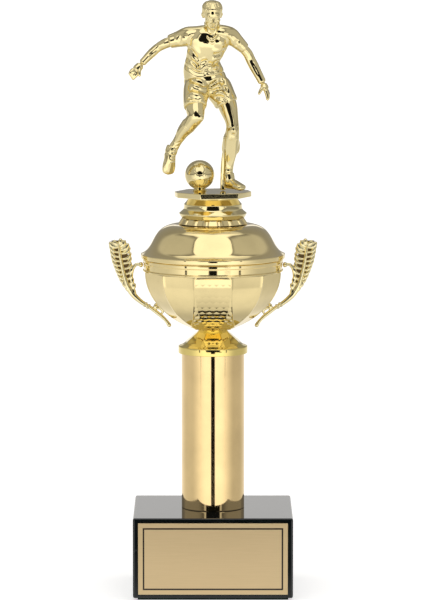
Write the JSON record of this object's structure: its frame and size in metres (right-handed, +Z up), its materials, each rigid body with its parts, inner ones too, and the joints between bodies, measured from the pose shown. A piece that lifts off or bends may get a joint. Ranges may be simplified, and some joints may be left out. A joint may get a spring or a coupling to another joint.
{
  "type": "figure trophy",
  "caption": "Lidded gold cup with laurel handles on a tube column and a black stone block, topped by a football player that turns on the tie rod.",
  "frame": {"origin": "on the trophy's axis, at the underside of the felt pad", "axes": "+Z up along the tie rod; the engraving plate and the player face -Y; +X to the viewer's right"},
  "size_m": [0.133, 0.0918, 0.3768],
  "materials": {
    "felt": "short felt",
    "black_stone": "polished black marble",
    "adhesive": "clear double-sided tape",
    "satin_gold_plate": "satin gold with a dark brown line border",
    "zinc_steel": "zinc plated",
    "column_gold": "metallised, rose-tinted mirror gold",
    "black_plastic": "moulded",
    "cup_gold": "metallised, bright mirror gold",
    "handle_gold": "metallised, bright mirror gold",
    "figure_gold": "metallised, pale mirror gold"
  },
  "bodies": {
    "stand": {"felt_pad": "felt", "marble_base": "black_stone", "plate_adhesive": "adhesive", "engraving_plate": "satin_gold_plate", "tie_rod": "zinc_steel", "rod_nut": "zinc_steel", "rod_washer": "zinc_steel", "column_tube": "column_gold", "column_insert": "black_plastic", "cup_foot": "cup_gold", "bowl": "cup_gold", "bowl_washer": "zinc_steel", "bowl_nut": "zinc_steel", "rim_band": "cup_gold", "handle_left": "handle_gold", "handle_right": "handle_gold", "lid": "cup_gold", "crown_collar": "cup_gold"},
    "figure": {"figure_riser": "figure_gold", "figure_nut": "zinc_steel", "figure_plate": "figure_gold", "figure_ball": "figure_gold", "figure_player": "figure_gold"}
  },
  "joints": [
    {"name": "figure_turn", "type": "hinge", "parent": "stand", "child": "figure", "pos_m": [0, 0, 0.238], "axis": [0, 0, 1], "range_deg": [-180, 180]}
  ]
}
